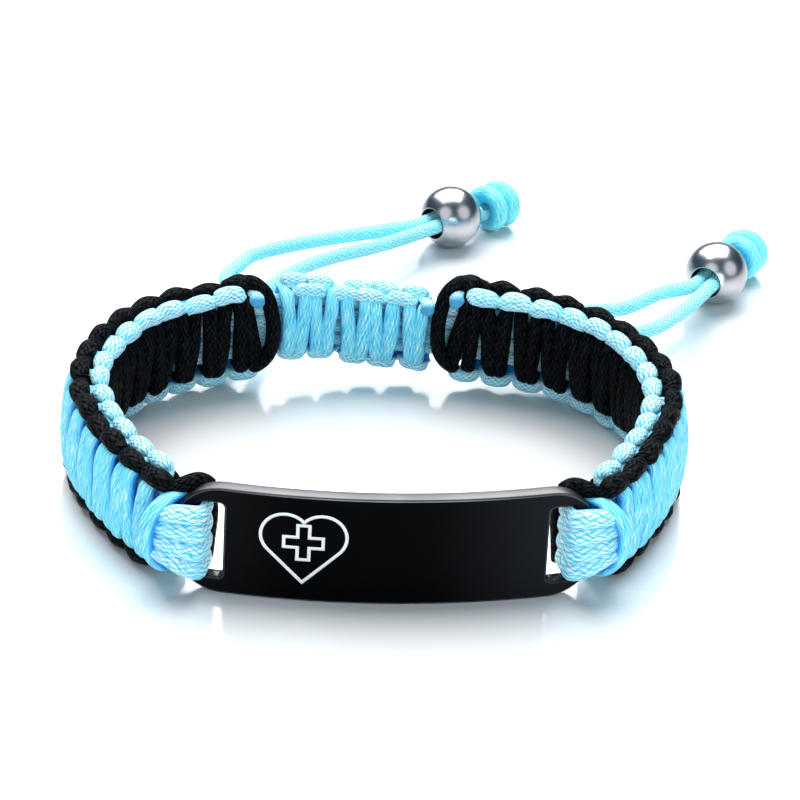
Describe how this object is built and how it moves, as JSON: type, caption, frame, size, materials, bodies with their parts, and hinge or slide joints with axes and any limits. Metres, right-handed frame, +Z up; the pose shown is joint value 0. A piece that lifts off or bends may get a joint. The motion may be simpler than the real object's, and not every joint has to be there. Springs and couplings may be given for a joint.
{
  "type": "medical alert bracelet",
  "caption": "Curved steel identification plate held by woven two-colour cord bands, closed at the back by a sliding woven knot with pull cords ending in round beads.",
  "frame": {"origin": "centre of the wrist opening on the surface that the bracelet lies on", "axes": "+X to the right along the plate seen from the front, +Y from the plate to the closure, +Z up along the wrist axis"},
  "size_m": [0.0791, 0.0859, 0.012],
  "materials": {
    "plate": "satin black coating on steel, polished edges",
    "bead": "mirror polish",
    "blue_cord": "satin braided nylon",
    "black_cord": "braided nylon"
  },
  "bodies": {
    "root": {"id_plate": "plate", "left_core_cord_1": "blue_cord", "left_core_cord_2": "blue_cord", "left_core_cord_3": "blue_cord", "left_core_cord_4": "blue_cord", "right_core_cord_1": "blue_cord", "right_core_cord_2": "blue_cord", "right_core_cord_3": "blue_cord", "right_core_cord_4": "blue_cord", "left_blue_cord": "blue_cord", "right_blue_cord": "blue_cord", "left_black_cord": "black_cord", "right_black_cord": "black_cord", "closure_outer_cord": "blue_cord", "closure_inner_cord": "blue_cord", "left_tail_cord_1": "blue_cord", "left_tail_cord_2": "blue_cord", "right_tail_cord_1": "blue_cord", "right_tail_cord_2": "blue_cord", "left_bead": "bead", "right_bead": "bead", "left_end_knot": "blue_cord", "right_end_knot": "blue_cord"}
  },
  "joints": []
}
